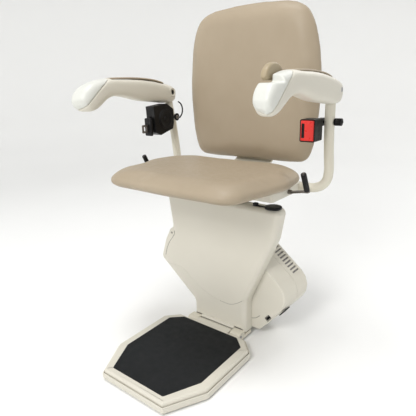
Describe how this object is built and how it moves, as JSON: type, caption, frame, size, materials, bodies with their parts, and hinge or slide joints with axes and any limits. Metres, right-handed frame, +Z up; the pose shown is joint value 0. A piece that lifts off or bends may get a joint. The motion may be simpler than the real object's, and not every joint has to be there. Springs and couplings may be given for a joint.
{
  "type": "stairlift chair",
  "caption": "Stairlift chair with swivelling seat, folding arms, folding footrest, lap belt and a covered self-driving carriage on an inclined rail saddle.",
  "frame": {"origin": "centre of the rail saddle's flat rear face, where the carriage meets its inclined rail", "axes": "+Z up, +Y out of the saddle's rear face towards the rail and the wall, -Y the way the sitter faces, +X towards the lower end of the rail"},
  "size_m": [0.6117, 0.5835, 0.951],
  "materials": {
    "cover_plastic": "satin cream moulding",
    "fascia_plastic": "smooth off-white moulding",
    "tube_paint": "cream powder coat",
    "upholstery": "fine-grained tan vinyl",
    "black_plastic": "fine textured black",
    "red_plastic": "smooth red",
    "mat_rubber": "studded dark grey",
    "roller_rubber": "smooth tyre",
    "steel": "machined",
    "zinc": "dull zinc plate",
    "alloy": "cast",
    "brass": "machined",
    "board": "solder mask"
  },
  "bodies": {
    "carriage": {"rail_saddle": "alloy", "gearbox_case": "alloy", "drive_motor": "zinc", "battery_upper": "black_plastic", "battery_lower": "black_plastic", "control_board": "board", "rear_shell": "cover_plastic", "front_shell": "cover_plastic", "end_cap": "cover_plastic", "end_buffer": "black_plastic", "cover_screw": "zinc", "chassis_plate": "steel", "front_cover": "cover_plastic", "column_cover": "cover_plastic", "footrest_bracket": "tube_paint", "footrest_pin": "steel", "seat_post": "steel", "latch_plate": "zinc", "swivel_bearing": "black_plastic", "swivel_pads": "black_plastic"},
    "pinion": {"drive_pinion": "steel", "worm_wheel": "brass"},
    "worm": {"worm_shaft": "steel"},
    "roller_1": {"guide_roller_1": "roller_rubber"},
    "roller_2": {"guide_roller_2": "roller_rubber"},
    "roller_3": {"guide_roller_3": "roller_rubber"},
    "roller_4": {"guide_roller_4": "roller_rubber"},
    "switch": {"power_switch": "black_plastic"},
    "footrest": {"footrest_plate": "cover_plastic", "footrest_mat": "mat_rubber"},
    "pan": {"safety_pan": "cover_plastic"},
    "seat": {"seat_base": "cover_plastic", "swivel_hub": "alloy", "arm_tube_left": "tube_paint", "arm_tube_right": "tube_paint", "back_bracket": "tube_paint", "back_board": "cover_plastic", "back_cushion": "upholstery", "seat_hinge_rod": "steel", "arm_pin_left": "steel", "arm_pin_right": "steel", "belt_retractor": "black_plastic", "belt_buckle": "black_plastic", "buckle_bolt": "black_plastic", "retractor_bolt": "steel", "arm_cable": "black_plastic"},
    "seat_pan": {"seat_board": "black_plastic", "seat_cushion": "upholstery"},
    "arm_l": {"arm_left": "cover_plastic", "arm_fascia_left": "fascia_plastic", "arm_pad_left": "upholstery"},
    "arm_r": {"arm_right": "cover_plastic", "arm_fascia_right": "fascia_plastic", "arm_pad_right": "upholstery"},
    "paddle": {"control_paddle": "upholstery"},
    "lever_r": {"lever_right": "zinc"},
    "lever_l": {"lever_left": "zinc"},
    "latch": {"latch_pin": "steel"},
    "button": {"buckle_button": "red_plastic"},
    "tongue": {"belt_tongue": "black_plastic"}
  },
  "joints": [
    {"name": "pinion_spin", "type": "hinge", "parent": "carriage", "child": "pinion", "pos_m": [0.08212, -0.017, -0.06881], "axis": [0, 1, 0], "continuous": true},
    {"name": "worm_spin", "type": "hinge", "parent": "carriage", "child": "worm", "pos_m": [0.08742, -0.087, -0.01582], "axis": [0.766, 0, -0.6428], "continuous": true},
    {"name": "roller_1_spin", "type": "hinge", "parent": "carriage", "child": "roller_1", "pos_m": [0.00717, -0.017, 0.10635], "axis": [0, 1, 0], "continuous": true},
    {"name": "roller_2_spin", "type": "hinge", "parent": "carriage", "child": "roller_2", "pos_m": [0.10369, -0.017, 0.02535], "axis": [0, 1, 0], "continuous": true},
    {"name": "roller_3_spin", "type": "hinge", "parent": "carriage", "child": "roller_3", "pos_m": [-0.11753, -0.017, -0.04227], "axis": [0, 1, 0], "continuous": true},
    {"name": "roller_4_spin", "type": "hinge", "parent": "carriage", "child": "roller_4", "pos_m": [-0.02101, -0.017, -0.12326], "axis": [0, 1, 0], "continuous": true},
    {"name": "switch_rock", "type": "hinge", "parent": "carriage", "child": "switch", "pos_m": [0.15416, -0.136, -0.08096], "axis": [0.766, 0, -0.6428], "range_deg": [-8, 8]},
    {"name": "footrest_fold", "type": "hinge", "parent": "carriage", "child": "footrest", "pos_m": [0, -0.202, -0.134], "axis": [-1, 0, 0], "range_deg": [0, 88]},
    {"name": "pan_lift", "type": "slide", "parent": "footrest", "child": "pan", "axis": [0, 0, 1], "range_m": [0, 0.003], "stiffness_N_per_m": 600, "springref_m": -0.006},
    {"name": "seat_swivel", "type": "hinge", "parent": "carriage", "child": "seat", "pos_m": [0, -0.105, 0.29], "axis": [0, 0, 1], "range_deg": [-90, 90]},
    {"name": "seat_fold", "type": "hinge", "parent": "seat", "child": "seat_pan", "pos_m": [0, -0.054, 0.324], "axis": [-1, 0, 0], "range_deg": [0, 30]},
    {"name": "arm_left_fold", "type": "hinge", "parent": "seat", "child": "arm_l", "pos_m": [-0.277, -0.06, 0.566], "axis": [-1, 0, 0], "range_deg": [0, 90]},
    {"name": "arm_right_fold", "type": "hinge", "parent": "seat", "child": "arm_r", "pos_m": [0.277, -0.06, 0.566], "axis": [-1, 0, 0], "range_deg": [0, 90]},
    {"name": "paddle_tilt", "type": "hinge", "parent": "arm_r", "child": "paddle", "pos_m": [0.272, -0.332, 0.596], "axis": [1, 0, 0], "range_deg": [-6, 6], "stiffness_Nm_per_rad": 0.25},
    {"name": "lever_right_lift", "type": "hinge", "parent": "seat", "child": "lever_r", "pos_m": [0.19, -0.112, 0.305], "axis": [1, 0, 0], "range_deg": [0, 20], "stiffness_Nm_per_rad": 0.8, "springref_deg": -20.05},
    {"name": "lever_left_lift", "type": "hinge", "parent": "seat", "child": "lever_l", "pos_m": [-0.19, -0.112, 0.305], "axis": [1, 0, 0], "range_deg": [0, 20]},
    {"name": "latch_lift", "type": "slide", "parent": "seat", "child": "latch", "axis": [0, 0, 1], "range_m": [0, 0.006]},
    {"name": "button_press", "type": "slide", "parent": "seat", "child": "button", "axis": [0, 1, 0], "range_m": [0, 0.0025], "stiffness_N_per_m": 400, "springref_m": -0.003},
    {"name": "tongue_pull", "type": "slide", "parent": "seat", "child": "tongue", "axis": [0, -1, 0], "range_m": [0, 0.03], "stiffness_N_per_m": 20, "springref_m": -0.05}
  ],
  "couplings": [
    {"joint": "worm_spin", "follows": "pinion_spin", "ratio": 24},
    {"joint": "roller_1_spin", "follows": "pinion_spin", "ratio": 1.25},
    {"joint": "roller_2_spin", "follows": "pinion_spin", "ratio": 1.25},
    {"joint": "roller_3_spin", "follows": "pinion_spin", "ratio": -1.25},
    {"joint": "roller_4_spin", "follows": "pinion_spin", "ratio": -1.25},
    {"joint": "lever_left_lift", "follows": "lever_right_lift", "ratio": 1},
    {"joint": "latch_lift", "follows": "lever_right_lift", "m_per_rad": 0.0168}
  ]
}
